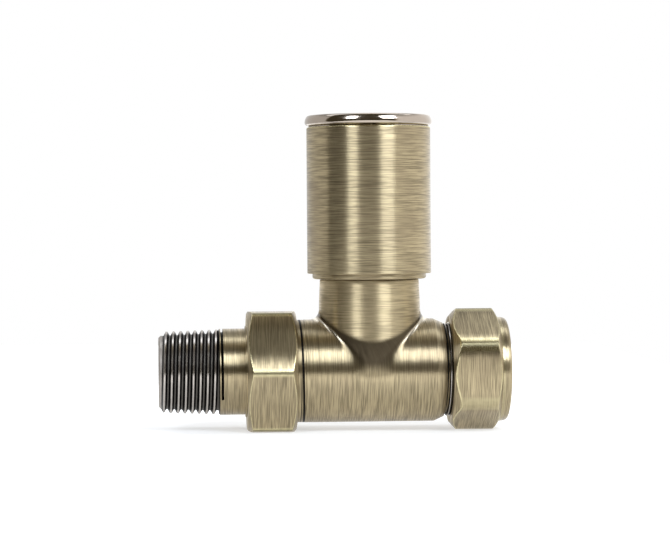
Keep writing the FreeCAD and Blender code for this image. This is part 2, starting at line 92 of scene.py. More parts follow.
def length(name, description, default):
    """Size that a user may change, in metres."""
    return FloatProperty(name=name, description=description, default=default, unit="LENGTH", precision=5)


def colour(name, description, default):
    """Colour that a user may change."""
    return FloatVectorProperty(
        name=name, description=description, default=default, subtype="COLOR", size=3, min=0, max=1
    )


class ValveSizes(bpy.types.PropertyGroup):
    """Sizes of what the solids leave plain."""

    run_radius: length("Run radius", "Outer radius of the tee's run", 13.2 * MM)
    neck_radius: length("Neck radius", "Outer radius of the tee's neck", 13.0 * MM)
    saddle_blend: length("Saddle blend", "How far run and neck pass softly into each other", 1.6 * MM)
    outlet_pitch: length("Outlet pitch", "Pitch of the union thread", 1.814 * MM)
    inlet_pitch: length("Inlet pitch", "Pitch of the compression thread", 0.75 * MM)
    tail_pitch: length("Tail pitch", "Pitch of the radiator thread", 1.814 * MM)
    tail_tip: length("Tail tip", "Crest radius at the tail's free end", 10.42 * MM)
    tail_heel: length("Tail heel", "Crest radius at the tail's barrel", 10.93 * MM)
    corner_round: length("Corner rounding", "Rounding of the nuts' corners", 0.45 * MM)
    edge_round: length("Edge rounding", "Rounding of the nuts' coned edges", 0.3 * MM)
    union_crown: length("Union nut crown", "Polished off the union nut's corners", 0.56 * MM)
    press_crown: length("Compression nut crown", "Polished off the compression nut's corners", 0.5 * MM)
    segments: IntProperty(name="Segments", description="Steps round a turned piece", default=192, min=48)


class ValveFinish(bpy.types.PropertyGroup):
    """Colours of the finishes."""

    brass: colour("Antique brass", "Brushed plating", (0.375, 0.308, 0.190))
    shade: colour("Shaded brass", "Darker bloom in the plating", (0.285, 0.225, 0.145))
    gilt: colour("Worn edge", "Plating rubbed bright along edges", (0.60, 0.53, 0.31))
    # Painted highlight: a pale tone laid in the saddle hollow
    rubbed: colour("Saddle highlight", "Pale highlight painted in the saddle hollow", (0.82, 0.75, 0.62))
    polish: colour("Polished brass", "Plating of the cap", (0.42, 0.36, 0.30))
    raw: colour("Raw brass", "Machined brass inside", (0.66, 0.50, 0.24))
    crest: colour("Thread crest", "Silvery rubbed crest", (0.51, 0.465, 0.42))
    core: colour("Thread core", "Grey floor of a thread", (0.12, 0.110, 0.098))
    root: colour("Thread flank", "Blackened flank", (0.012, 0.011, 0.010))
    rubber: colour("Rubber", "Seals", (0.018, 0.018, 0.019))
    fibre: colour("Fibre", "Flat gasket", (0.33, 0.11, 0.06))
    plastic: colour("Plastic", "Drive insert", (0.70, 0.69, 0.66))
    steel: colour("Zinc steel", "Screw, clip and washer", (0.56, 0.57, 0.58))
    floor: colour("Floor", "Pale studio floor", (0.56, 0.56, 0.56))


class Wire:
    """Output socket that takes part in Python arithmetic."""

    def __init__(self, board, socket):
        self.board = board
        self.socket = socket

    def math(self, operation, *values):
        """Math node on the given values."""
        return self.board.add("ShaderNodeMath", {"operation": operation}, dict(enumerate(values)))

    def __add__(self, other):
        return self.math("ADD", self, other)

    def __radd__(self, other):
        return self.math("ADD", other, self)

    def __sub__(self, other):
        return self.math("SUBTRACT", self, other)

    def __rsub__(self, other):
        return self.math("SUBTRACT", other, self)

    def __mul__(self, other):
        return self.math("MULTIPLY", self, other)

    def __rmul__(self, other):
        return self.math("MULTIPLY", other, self)

    def __truediv__(self, other):
        return self.math("DIVIDE", self, other)

    def __rtruediv__(self, other):
        return self.math("DIVIDE", other, self)

    def __pow__(self, other):
        return self.math("POWER", self, other)

    def __neg__(self):
        return self.math("SUBTRACT", 0, self)

    def __abs__(self):
        return self.math("ABSOLUTE", self)

    def most(self, other):
        """The larger of two values."""
        return self.math("MAXIMUM", self, other)

    def least(self, other):
        """The smaller of two values."""
        return self.math("MINIMUM", self, other)


class Board:
    """Node tree that is filled by one method."""

    def __init__(self, tree):
        self.tree = tree
        tree.nodes.clear()

    def add(self, kind, settings=None, sockets=None, out=0):
        """New node with its settings and its sockets' values or links; gives one of its outputs."""
        node = self.tree.nodes.new(kind)
        for name, value in (settings or {}).items():
            setattr(node, name, value)
        for key, value in (sockets or {}).items():
            if isinstance(value, Wire):
                self.tree.links.new(value.socket, node.inputs[key])
            else:
                node.inputs[key].default_value = value
        return Wire(self, node.outputs[out] if len(node.outputs) else None)

    def rise(self, value, low, high):
        """0 below low, 1 above high, smooth between."""
        settings = {"interpolation_type": "SMOOTHSTEP"}
        return self.add("ShaderNodeMapRange", settings, {0: value, 1: low, 2: high})

    def mix(self, share, first, second):
        """Colour between two others."""
        first = first if isinstance(first, Wire) else (*first, 1)
        second = second if isinstance(second, Wire) else (*second, 1)
        return self.add("ShaderNodeMix", {"data_type": "RGBA"}, {0: share, 6: first, 7: second}, out=2)

    def noise(self, x, y, z, detail=2.0):
        """Soft noise from 0 to 1 in three scaled coordinates."""
        place = self.add("ShaderNodeCombineXYZ", {}, {0: x, 1: y, 2: z})
        return self.add("ShaderNodeTexNoise", {}, {"Vector": place, "Scale": 1.0, "Detail": detail})

    def parts(self, vector):
        """The three parts of a vector."""
        split = self.add("ShaderNodeSeparateXYZ", {}, {0: vector}).socket.node
        return [Wire(self, output) for output in split.outputs]

    def surface(self):
        """The three parts of the surface's own normal along the object's axes."""
        return self.parts(self.add("ShaderNodeTexCoord", out="Normal"))

    def tilted(self, parts, leans):
        """Normal for a shader: three parts along the object's axes, each leant by an amount."""
        sums = {index: part + lean for index, (part, lean) in enumerate(zip(parts, leans))}
        joined = self.add("ShaderNodeCombineXYZ", {}, sums)
        settings = {"vector_type": "NORMAL", "convert_from": "OBJECT", "convert_to": "WORLD"}
        return self.add("ShaderNodeVectorTransform", settings, {0: joined})

    def place(self, centre):
        """The three object coordinates, from a centre, in millimetres."""
        parts = self.parts(self.add("ShaderNodeTexCoord", out="Object"))
        return [(part - offset) * (1 / MM) for part, offset in zip(parts, centre)]


def from_axis(first, second):
    """Distance from an axis, from the two coordinates across it."""
    return (first * first + second * second) ** 0.5


def shaded(tone, factor):
    """A colour made darker, or lighter by a factor above 1."""
    return tuple(part * factor for part in tone)


def clamped(value):
    """A number held between 0 and 1."""
    return min(max(value, 0), 1)


def new_board(name):
    """Fresh material and its board."""
    material = bpy.data.materials.new(name)
    material.use_nodes = True
    return material, Board(material.node_tree)


def finish(board, sockets, height=None, depth=0.0, strength=0.0):
    """Shader and output, with a bump where a height is given."""
    if height is not None:
        relief = {"Strength": strength, "Distance": depth, "Height": height}
        sockets["Normal"] = board.add("ShaderNodeBump", {}, relief)
    shader = board.add("ShaderNodeBsdfPrincipled", {}, sockets)
    board.add("ShaderNodeOutputMaterial", {}, {0: shader})


def brushed(board, sockets, across):
    """Brushed metal whose highlights stretch along the run or, where brushed across, up the spindle."""
    stretch, turn = (0.985, 0.25) if across else (0.93, 0.0)
    grain = {"Anisotropic": stretch, "Anisotropic Rotation": turn}
    return board.add("ShaderNodeBsdfPrincipled", {}, {**sockets, **grain})


def lay_grain(mesh):
    """Squeezes a mesh's texture space front to back, which lays the unturned grain along the run."""
    squeeze = 0.005
    across = [vertex.co.x for vertex in mesh.vertices]
    mesh.use_auto_texspace = False
    mesh.texspace_location = ((min(across) + max(across)) / 2, 0, 0)
    mesh.texspace_size = (1, squeeze, 1)


def brush_lines(board, spot, axis, flats=False):
    """Reach from an axis, and the leans and tone of hair lines brushed round it."""
    x, y, z = spot
    along, side, other = (x, y, z) if axis == "run" else (z, x, y)
    reach = from_axis(side, other)
    line = along if flats else along + reach
    fine = board.noise(line * FINE_LINES, side * FINE_DRIFT, other * FINE_DRIFT, 3.0)
    broad = board.noise(line * BROAD_LINES, side * BROAD_DRIFT, other * BROAD_DRIFT, 2.0)
    shifted = line * RAGGED_LINES + RAGGED_SHIFT
    ragged = board.noise(shifted, side * RAGGED_DRIFT, other * RAGGED_DRIFT, 3.0)
    lean = (fine - 0.5) * FINE_LEAN
    sway = (ragged - 0.5) * RAGGED_SWAY / reach
    turned = -(other * sway), side * sway
    leans = (lean, *turned) if axis == "run" else (*turned, lean)
    return reach, leans, fine * 0.9 + broad * 0.1


def brushed_brass(name, tones, axis, bore, wear=None, painted_shade=None, flats=False):
    """Antique brass brushed round the run or the spindle, raw inside its bore."""
    material, board = new_board(name)
    spot = board.place((SPINDLE, 0, 0))
    reach, leans, tone = brush_lines(board, spot, axis, flats)
    normal = board.tilted(board.surface(), leans)
    inside = 1 - board.rise(reach, bore, bore + 0.05)
    grime_and_painted_shade = painted_shade(board, *spot) if painted_shade else None
    worn = wear(board, *spot) if wear else None
    sockets = paint_brass(board, tones, spot, tone, normal, inside, worn, grime_and_painted_shade)
    board.add("ShaderNodeOutputMaterial", {}, {0: brushed(board, sockets, axis == "spindle")})
    return material


def paint_brass(board, tones, spot, tone, normal, inside, worn=None, grime_and_painted_shade=None):
    """Sockets of antique brass: hair lines, bloom, raw inside, worn edges, and painted shade in grooves
    and along corners.
    """
    x, y, z = spot
    bloom = board.noise(x * 0.09, y * 0.09, z * 0.09, 3.0)
    hair = board.rise(tone, *HAIR_RANGE)
    tint = board.mix(hair, shaded(tones.brass, 0.66), shaded(tones.brass, 1.25))
    tint = board.mix(board.rise(bloom, 0.45, 0.75) * 0.5, tint, tones.shade)
    rough = 0.36 - 0.04 * hair + 0.06 * bloom
    if worn is not None:
        rub = board.noise(x * 0.9, y * 0.9, z * 0.9, 2.0)
        worn = (0.65 + 0.35 * board.rise(rub, 0.25, 0.6)) * worn
        tint = board.mix(worn, tint, tones.gilt)
        rough = rough - 0.12 * worn
    tint = board.mix(inside, tint, tones.raw)
    # Painted shade: grooves and corners are darkened to the thread flank's black
    if grime_and_painted_shade is not None:
        tint = board.mix(grime_and_painted_shade, tint, tones.root)
        rough = rough + 0.2 * grime_and_painted_shade
    return {"Base Color": tint, "Roughness": rough, "Metallic": 1.0, "Normal": normal}


def tee_brass(name, tones, sizes, run_left, run_right):
    """Antique brass of the tee: run brushed round its axis, neck round the spindle, bores raw."""
    material, board = new_board(name)
    spot = board.place((SPINDLE, 0, 0))
    x, _, z = spot
    run_r, neck_r = sizes.run_radius / MM, sizes.neck_radius / MM
    reach, run_leans, run_tone = brush_lines(board, spot, "run")
    neck, neck_leans, neck_tone = brush_lines(board, spot, "spindle")
    off_run, off_neck = reach - run_r, neck - neck_r
    # The neck's brushing ends above the saddle, on a curve that climbs to both sides
    on_neck = (1 - board.rise(off_neck, 0.3, 1.2)) * board.rise(z - 0.04 * x * x, 7.4, 8.9)
    tone = run_tone + (neck_tone - run_tone) * on_neck
    parts, run_share = soft_saddle(board, sizes, spot, reach, neck)
    # Below the run's axis there is no neck, so its surface counts as far away
    under = z.math("LESS_THAN", z, 0.0)
    shell = board.rise(off_run.least(off_neck + 100 * under), -0.06, -0.03)
    past_left = board.rise(x, run_left + 0.05, run_left + 0.1)
    past_right = board.rise(x, run_right - 0.1, run_right - 0.05)
    shell = shell * past_left * (1 - past_right)
    parts = [own + (soft - own) * shell for own, soft in zip(board.surface(), parts)]
    leans = [first + (second - first) * on_neck for first, second in zip(run_leans, neck_leans)]
    normal = board.tilted(parts, leans)
    inside = 1 - board.rise(reach, 10.3, 10.4)
    sockets = paint_brass(board, tones, spot, tone, normal, inside)
    # Painted dark reflection: the saddle's V below the neck is darkened to a deep brass tone
    painted_dark_reflection = (1 - run_share) * (1 - on_neck) * board.rise(z, 0.0, 3.0) * shell * 0.95
    sockets["Base Color"] = board.mix(painted_dark_reflection, sockets["Base Color"], shaded(tones.shade, 0.36))
    hollow = board.rise(off_run, 0.03, 0.3) * board.rise(off_neck, 0.03, 0.3)
    # Painted sheen: the neck is lightened towards a brighter brass, more on its light hair lines
    painted_neck_sheen = 0.35 + 0.55 * board.rise(neck_tone, *HAIR_RANGE)
    sockets["Base Color"] = board.mix(painted_neck_sheen * on_neck, sockets["Base Color"], shaded(tones.brass, 1.5))
    # Painted highlight: the saddle hollow is laid in a pale tone where the boxes' reflections fall
    sockets["Base Color"] = board.mix(hollow * run_share, sockets["Base Color"], tones.rubbed)
    sockets["Roughness"] = (sockets["Roughness"] + 0.12 * on_neck) * (1 - 0.5 * hollow)
    along, across = brushed(board, sockets, False), brushed(board, sockets, True)
    shader = board.add("ShaderNodeMixShader", {}, {0: on_neck, 1: along, 2: across})
    board.add("ShaderNodeOutputMaterial", {}, {0: shader})
    return material


def soft_saddle(board, sizes, spot, reach, neck):
    """Parts of a normal that passes softly from the neck's to the run's, and the run's share of it."""
    x, y, z = spot
    run_r, neck_r, blend = sizes.run_radius / MM, sizes.neck_radius / MM, sizes.saddle_blend / MM
    lift = (z.most(0.0) * 0.1).least(1.0) * 0.5
    share = board.rise(lift + ((neck - neck_r) - (reach - run_r)) / blend, 0.0, 1.0)
    share = share + (1 - share) * board.rise(-z, 0.0, 2.5)
    rest = 1 - share
    return [x / neck * rest, y / neck * rest + y / reach * share, z / reach * share], share


def off_cone(board):
    """1 on a nut's flats and rounded edges, 0 on the coned faces at its ends."""
    lean = board.surface()[0]
    return 1 - board.rise(abs(lean), 0.5, 0.68)


def polished_brass(name, tones):
    """Mirror-polished cap with faint wiping marks."""
    material, board = new_board(name)
    x, y, z = board.place((SPINDLE, 0, 0))
    haze = board.noise(x * 0.25, y * 0.25, z * 0.25, 4.0)
    marks = board.noise(x * 0.6, y * 3.0, z * 3.0, 4.0)
    tint = board.mix(haze, shaded(tones.polish, 0.9), tones.polish)
    rough = 0.10 + 0.10 * board.rise(haze * 0.6 + marks * 0.4, 0.35, 0.8)
    finish(board, {"Base Color": tint, "Roughness": rough, "Metallic": 1.0}, marks, 0.004 * MM, 0.2)
    return material


def thread_metal(name, tones, tip, heel, start, end, depth, bare=None):
    """Thread metal: silvery crests, blackened flanks and a grey core, rubbed bare up to a station."""
    material, board = new_board(name)
    x, y, z = board.place((SPINDLE, 0, 0))
    reach = from_axis(y, z)
    drop = tip + (x - start) * ((heel - tip) / (end - start)) - reach
    grime_and_painted_shade = board.noise(x * 1.4, y * 0.5, z * 0.5, 4.0)
    crest = (1 - board.rise(drop, depth * 0.06, depth * 0.22)) * (0.7 + 0.3 * grime_and_painted_shade)
    core = board.rise(drop, depth * 0.88, depth * 0.97)
    floor = tones.core
    if bare is not None:
        rubbed = (1 - board.rise(x, bare - 0.3, bare)) * (0.4 + 0.6 * grime_and_painted_shade)
        floor = board.mix(rubbed, tones.core, tones.crest)
    tint = board.mix(core, board.mix(crest, tones.root, tones.crest), floor)
    rough = 0.44 - 0.28 * crest + 0.08 * grime_and_painted_shade
    normal = board.tilted(board.surface(), ((grime_and_painted_shade - 0.5) * 0.25, 0, 0))
    finish(board, {"Base Color": tint, "Roughness": rough, "Metallic": 1.0, "Normal": normal})
    return material


def plain_finish(name, tone, darker, metallic, rough, grain, depth):
    """Finish of an inner piece: a tone that varies down to a darker one, a grain and a small bump."""
    material, board = new_board(name)
    x, y, z = board.place((SPINDLE, 0, 0))
    reach = from_axis(x, y)
    rings = board.noise((z + reach) * grain, x * 0.2, y * 0.2, 3.0)
    cloud = board.noise(x * 0.5, y * 0.5, z * 0.5, 3.0)
    tint = board.mix(rings * 0.6 + cloud * 0.4, shaded(tone, darker), tone)
    rough = rough + 0.12 * (cloud - 0.5)
    finish(board, {"Base Color": tint, "Roughness": rough, "Metallic": metallic}, rings, depth * MM, 0.4)
    return material


def rounded(corners, steps=5):
    """Points round a closed outline; a corner's third number is its rounding."""
    spots = [Vector(corner[:2]) for corner in corners]
    points = []
    for index, corner in enumerate(corners):
        here = spots[index]
        if len(corner) < 3:
            points.append(tuple(here))
            continue
        back = spots[index - 1] - here
        ahead = spots[(index + 1) % len(spots)] - here
        half = back.angle(ahead) / 2
        cut = min(corner[2] / math.tan(half), back.length * 0.48, ahead.length * 0.48)
        first = here + back.normalized() * cut
        last = here + ahead.normalized() * cut
        for step in range(steps + 1):
            share = step / steps
            bend = first * (1 - share) ** 2 + here * (2 * share * (1 - share)) + last * share**2
            points.append(tuple(bend))
    return points


def arc(middle, inset, tall, wide, first, last, steps=8):
    """Points of an elliptical arc, as heights and radii, between two angles above the level."""
    turns = [first + (last - first) * step / steps for step in range(steps + 1)]
    return [(middle + tall * math.sin(turn), inset + wide * math.cos(turn)) for turn in turns]


def lathe(name, outline, turns, axis):
    """Closed piece whose outline at each angle is given by a function of that angle."""
    rows = [rounded(outline(angle)) for angle in turns]
    count = len(rows[0])
    spots = []
    for angle, row in zip(turns, rows):
        cosine, sine = math.cos(angle), math.sin(angle)
        for along, radius in row:
            if axis == "run":
                spots.append((along, -radius * cosine, radius * sine))
            else:
                spots.append((SPINDLE + radius * sine, -radius * cosine, along))
    faces = []
    for turn in range(len(turns)):
        here, after = turn * count, (turn + 1) % len(turns) * count
        for step in range(count):
            ahead = (step + 1) % count
            faces.append((here + step, here + ahead, after + ahead, after + step))
    mesh = bpy.data.meshes.new(name)
    mesh.from_pydata(spots, [], faces)
    return tidied(name, mesh)


def tidied(name, mesh, angle=28):
    """Object of a merged, outward-facing mesh, smooth except across sharp edges."""
    close = 0.0005 * MM
    work = bmesh.new()
    work.from_mesh(mesh)
    bmesh.ops.remove_doubles(work, verts=work.verts, dist=close)
    bmesh.ops.dissolve_degenerate(work, edges=work.edges, dist=close)
    bmesh.ops.recalc_face_normals(work, faces=work.faces)
    work.to_mesh(mesh)
    work.free()
    mesh.shade_smooth()
    mesh.set_sharp_from_angle(angle=math.radians(angle))
    piece = bpy.data.objects.new(name, mesh)
    bpy.context.scene.collection.objects.link(piece)
    return piece


def even_turns(count):
    """Angles spread evenly round a circle."""
    return [math.tau * step / count for step in range(count)]


def hexagon(flats, rounding, turn, crown=0.0, start=0.0):
    """Radius at any angle of a hexagon with rounded corners, and the angles worth sampling.

    Each flat is drawn down towards its corners, by the crown there, from a share of its half width on.
    """
    flat_steps, corner_steps = 9, 8
    apothem = flats / 2
    sector = math.pi / 3
    inner = (apothem - rounding) / math.cos(sector / 2)
    tangent = math.atan((apothem - rounding) * math.tan(sector / 2) / apothem)

    def radius(angle):
        local = abs((angle - turn) % sector - sector / 2)
        across = math.tan(local) / math.tan(sector / 2)
        drop = crown * (max(across - start, 0) / (1 - start)) ** 2
        if local <= tangent:
            return apothem / math.cos(local) - drop
        lean = sector / 2 - local
        return inner * math.cos(lean) + math.sqrt(rounding**2 - (inner * math.sin(lean)) ** 2) - drop

    marks = [tangent * (step / flat_steps - 1) for step in range(2 * flat_steps + 1)]
    rest = (sector / 2 - tangent) * 2
    marks += [tangent + rest * step / corner_steps for step in range(1, corner_steps)]
    turns = [turn + sector * (side + 0.5) + mark for side in range(6) for mark in marks]
    return radius, turns


def settle(piece, body, material, nodes=()):
    """Gives a finished piece its material, body, slot and the nodes that it stands for."""
    lay_grain(piece.data)
    piece.data.materials.clear()
    piece.data.materials.append(material)
    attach(piece, body)
    if nodes:
        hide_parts(*nodes)
    return piece


def thread_tree():
    """Helical ridge: a tooth drawn along a tapering spiral, laid along the run."""
    tree = bpy.data.node_groups.new("helical_thread", "GeometryNodeTree")
    inputs = [
        ("Turns", "NodeSocketFloat"),
        ("Pitch", "NodeSocketFloat"),
        ("Start Root", "NodeSocketFloat"),
        ("End Root", "NodeSocketFloat"),
        ("Depth", "NodeSocketFloat"),
        ("Sink", "NodeSocketFloat"),
        ("Crest Width", "NodeSocketFloat"),
        ("Root Width", "NodeSocketFloat"),
        ("Lead In", "NodeSocketFloat"),
        ("Run Out", "NodeSocketFloat"),
        ("Steps", "NodeSocketInt"),
        ("Start", "NodeSocketVector"),
        ("Lay", "NodeSocketRotation"),
        ("Finish", "NodeSocketMaterial"),
    ]
    tree.interface.new_socket("Geometry", in_out="INPUT", socket_type="NodeSocketGeometry")
    for name, kind in inputs:
        tree.interface.new_socket(name, in_out="INPUT", socket_type=kind)
    tree.interface.new_socket("Geometry", in_out="OUTPUT", socket_type="NodeSocketGeometry")
    board = Board(tree)
    entry = board.add("NodeGroupInput").socket.node
    given = {name: Wire(board, entry.outputs[name]) for name, _ in inputs}
    spiral = board.add(
        "GeometryNodeCurveSpiral",
        {},
        {
            "Resolution": given["Steps"],
            "Rotations": given["Turns"],
            "Start Radius": given["Start Root"],
            "End Radius": given["End Root"],
            "Height": given["Turns"] * given["Pitch"],
        },
    )
    spiral = board.add("GeometryNodeSetCurveNormal", {"mode": "Z_UP"}, {"Curve": spiral})
    share = board.add("GeometryNodeSplineParameter")
    gone = share * given["Turns"]
    left = given["Turns"] - gone
    swell = (gone / given["Lead In"]).least(1.0) * (left / given["Run Out"]).least(1.0)
    low = -given["Sink"]
    half_root = given["Root Width"] * 0.5
    half_crest = given["Crest Width"] * 0.5
    corners = []
    for across, up in (
        (-half_root, low),
        (half_root, low),
        (half_crest, given["Depth"]),
        (-half_crest, given["Depth"]),
    ):
        corners.append(board.add("ShaderNodeCombineXYZ", {}, {0: -up, 1: across}))
    tooth = board.add(
        "GeometryNodeCurvePrimitiveQuadrilateral",
        {"mode": "POINTS"},
        {f"Point {index + 1}": corner for index, corner in enumerate(corners)},
    )
    ridge = board.add(
        "GeometryNodeCurveToMesh",
        {},
        {"Curve": spiral, "Profile Curve": tooth, "Scale": swell.most(0.02), "Fill Caps": True},
    )
    ridge = board.add(
        "GeometryNodeTransform",
        {},
        {"Geometry": ridge, "Translation": given["Start"], "Rotation": given["Lay"]},
    )
    ridge = board.add("GeometryNodeRealizeInstances", {}, {"Geometry": ridge})
    ridge = board.add("GeometryNodeSetMaterial", {}, {"Geometry": ridge, "Material": given["Finish"]})
    board.add("NodeGroupOutput", {}, {0: ridge})
    return tree


def thread(name, values, body):
    """Plain mesh of one helical thread, made by the node tree."""
    tree = bpy.data.node_groups.get("helical_thread") or thread_tree()
    maker = bpy.data.objects.new(name + "_maker", bpy.data.meshes.new(name + "_maker"))
    bpy.context.scene.collection.objects.link(maker)
    modifier = maker.modifiers.new("thread", "NODES")
    modifier.node_group = tree
    for item in tree.interface.items_tree:
        if item.in_out == "INPUT" and item.name in values:
            modifier[item.identifier] = values[item.name]
    graph = bpy.context.evaluated_depsgraph_get()
    mesh = bpy.data.meshes.new_from_object(maker.evaluated_get(graph))
    mesh.name = name
    bpy.data.objects.remove(maker)
    if len(mesh.vertices) == 0:
        raise RuntimeError(f"{name}: the thread came out empty")
    piece = tidied(name, mesh, angle=50)
    return settle(piece, body, values["Finish"])


def thread_values(start, end, first, last, pitch, depth, metal, crest_at_top=None):
    """Inputs of a right-hand thread between two stations along the run, with a crest radius at each."""
    turns = (end - start) / pitch
    phase = 0.0
    if crest_at_top is not None:
        phase = math.pi - math.tau * (crest_at_top - start) / pitch
    lay = Euler((0, math.pi / 2, 0)).to_matrix() @ Matrix.Rotation(phase, 3, "Z")
    return {
        "Turns": turns,
        "Pitch": pitch,
        "Start Root": first - depth,
        "End Root": last - depth,
        "Depth": depth,
        "Sink": 0.15 * MM,
        "Crest Width": pitch * 0.22,
        "Root Width": pitch * 0.92,
        "Lead In": 0.5,
        "Run Out": 0.35,
        "Steps": 96,
        "Start": (start, 0, 0),
        "Lay": tuple(lay.to_euler()),
        "Finish": metal,
    }


class VALVE_OT_tee(bpy.types.Operator):
    """Tee with its two threads and smooth saddle"""

    bl_idname = "valve.make_tee"
    bl_label = "Tee"

    def execute(self, context):
        sizes, tones = context.scene.valve_sizes, context.scene.valve_finish
        mesh = frame["nodes"]["valve_body"].data.copy()
        outlet_r, outlet_depth = 13.15 * MM, 0.95 * MM
        inlet_r, inlet_depth = 11.925 * MM, 0.62 * MM
        run_left, run_right = SPINDLE - 17.1 * MM, SPINDLE + 18.7 * MM
        land = run_left - 2.2 * MM
        slack = 0.02 * MM
        for vertex in mesh.vertices:
            spot = vertex.co
            reach = math.hypot(spot.y, spot.z)
            root = None
            if spot.x < run_left - slack:
                root = outlet_r - outlet_depth
            elif spot.x > run_right + slack:
                root = inlet_r - inlet_depth
            if root and reach > root:
                spot.y *= root / reach
                spot.z *= root / reach
        piece = tidied("tee", mesh, angle=25)
        ends = (run_left - SPINDLE) / MM, (run_right - SPINDLE) / MM
        brass = tee_brass("tee_brass", tones, sizes, *ends)
        settle(piece, "valve", brass, ["valve_body"])
        outlet = TEE_LOW.x + 0.5 * MM, land
        self.tee_thread("outlet", tones, *outlet, outlet_r, sizes.outlet_pitch, outlet_depth)
        self.outlet_land(sizes, tones, land, run_left, outlet_r)
        inlet = run_right + 0.2 * MM, TEE_HIGH.x - 0.4 * MM
        self.tee_thread("inlet", tones, *inlet, inlet_r, sizes.inlet_pitch, inlet_depth)
        return {"FINISHED"}

    def tee_thread(self, name, tones, start, end, radius, pitch, depth):
        """Straight helical thread on one end of the run."""
        crest = radius / MM
        stations = (start - SPINDLE) / MM, (end - SPINDLE) / MM
        metal = thread_metal(f"{name}_thread_metal", tones, crest, crest, *stations, depth / MM)
        values = thread_values(start, end, radius, radius, pitch, depth, metal)
        thread(f"{name}_thread", values, "valve")

    def outlet_land(self, sizes, tones, start, end, radius):
        """Plain land between the union thread and the run, crossed by the thread's run-out; painted
        shade darkens its groove, and a seam more towards the bottom.
        """
        edge, overlap, floor = 0.2 * MM, 0.02 * MM, radius - 1.2 * MM
        groove_back, seam_back, groove_pitch = 0.62, 1.05, 2.0

        def outline(angle):
            return [
                (start, floor),
                (start, radius - edge),
                (start + edge, radius),
                (end + overlap, radius),
                (end + overlap, floor),
            ]

        # Painted shade: the run-out groove and a seam are darkened, the seam only low down
        def painted_shade(board, x, y, z):
            turn = z.math("ARCTAN2", z, -y) / math.tau
            ahead = x - (end - SPINDLE) / MM
            groove = 1 - board.rise(abs(ahead + groove_back + groove_pitch * turn), 0.2, 0.34)
            seam = 1 - board.rise(abs(ahead + seam_back), 0.04, 0.14)
            return groove.most(seam * 0.8 * (1 - board.rise(z, -4, 9)))

        piece = lathe("outlet_land", outline, even_turns(sizes.segments), "run")
        brass = brushed_brass("outlet_land_brass", tones, "run", bore=6.9, painted_shade=painted_shade)
        settle(piece, "valve", brass)


class VALVE_OT_tail(bpy.types.Operator):
    """Union tail with its tapered radiator thread and hexagon key socket"""

    bl_idname = "valve.make_tail"
    bl_label = "Union tail"

    def execute(self, context):
        sizes, tones = context.scene.valve_sizes, context.scene.valve_finish
        start = TAIL_LOW.x
        end = TAIL_HIGH.x
        barrel = start + 15.3 * MM
        flange = barrel + 9.8 * MM
        seat = flange + 3.1 * MM
        barrel_r, flange_r, nose_r, bore = 11.05 * MM, 13.16 * MM, 8.5 * MM, 6.0 * MM
        ring_left, ring_right, ring_floor = end - 2.65 * MM, end - 1.2 * MM, nose_r - 1.4 * MM
        key_end = start + 12.0 * MM
        depth, scar_depth, scar_width = 1.05 * MM, 0.9 * MM, 0.6 * MM
        tip_root, heel_root = sizes.tail_tip - depth, sizes.tail_heel - depth
        key, _ = hexagon(12.5 * MM, 0.15 * MM, 0)
        scar_low, scar_high = math.radians(-37), math.radians(195)
        ease = math.radians(1.2)

        def outline(angle):
            turn = (angle + math.pi) % math.tau - math.pi
            lower = turn if turn > math.radians(-120) else turn + math.tau
            inside = clamped((lower - scar_low) / ease) * clamped((scar_high - lower) / ease)
            scar = barrel_r - scar_depth * inside
            left = 1 - clamped((lower - scar_low) / (scar_high - scar_low))
            groove = barrel + 0.32 * MM + 0.3 * MM * left
            return [
                (start, key(angle)),
                (start, tip_root - 0.5 * MM),
                (start + 0.5 * MM, tip_root),
                (barrel - 0.02 * MM, heel_root),
                (barrel, barrel_r - 0.35 * MM),
                (barrel + 0.3 * MM, barrel_r),
                (groove, barrel_r),
                (groove + 0.03 * MM, scar),
                (groove + scar_width, scar),
                (groove + scar_width + 0.05 * MM, barrel_r),
                (flange, barrel_r),
                (flange, flange_r, 0.25 * MM),
                (seat, flange_r, 0.25 * MM),
                (seat, nose_r),
                (ring_left, nose_r),
                (ring_left, ring_floor),
                (ring_right, ring_floor),
                (ring_right, nose_r),
                (end - 0.5 * MM, nose_r),
                (end, nose_r - 0.5 * MM),
                (end, bore),
                (key_end, bore),
                (key_end, key(angle)),
            ]

        marks = even_turns(sizes.segments)
        marks += [edge + ease * share for edge in (scar_low, scar_high - ease) for share in (0, 0.5, 1)]
        marks = sorted(mark % math.tau for mark in marks)
        piece = lathe("tail", outline, marks, "run")
        metal = thread_metal(
            "tail_thread_metal",
            tones,
            tip=sizes.tail_tip / MM,
            heel=sizes.tail_heel / MM,
            start=(start - SPINDLE) / MM,
            end=(barrel - SPINDLE) / MM,
            depth=depth / MM,
            bare=(start - SPINDLE) / MM + 1.2,
        )

        # Painted shade: up to 1.6 mm past the barrel's start and below 10.93 mm from the axis all is
        # darkened, taking in the scar groove, the step's foot and the key socket
        def painted_shade(board, x, y, z):
            past = x - (barrel - SPINDLE) / MM
            return (1 - board.rise(past, 1.6, 1.7)) * (1 - board.rise(from_axis(y, z), 10.93, 11.0))

        brass = brushed_brass("tail_brass", tones, "run", bore=6.9, painted_shade=painted_shade)
        settle(piece, "tail", brass, ["union_tail"])
        piece.data.materials.append(metal)
        key_reach = 7.5 * MM
        for face in piece.data.polygons:
            reach = math.hypot(face.center.y, face.center.z)
            if face.center.x < barrel and reach > key_reach:
                face.material_index = 1
        values = thread_values(
            start + 0.45 * MM,
            barrel + 0.3 * MM,
            sizes.tail_tip,
            sizes.tail_heel,
            sizes.tail_pitch,
            depth,
            metal,
            crest_at_top=SPINDLE - 51.76 * MM,
        )
        thread("tail_thread", values, "tail")
        return {"FINISHED"}


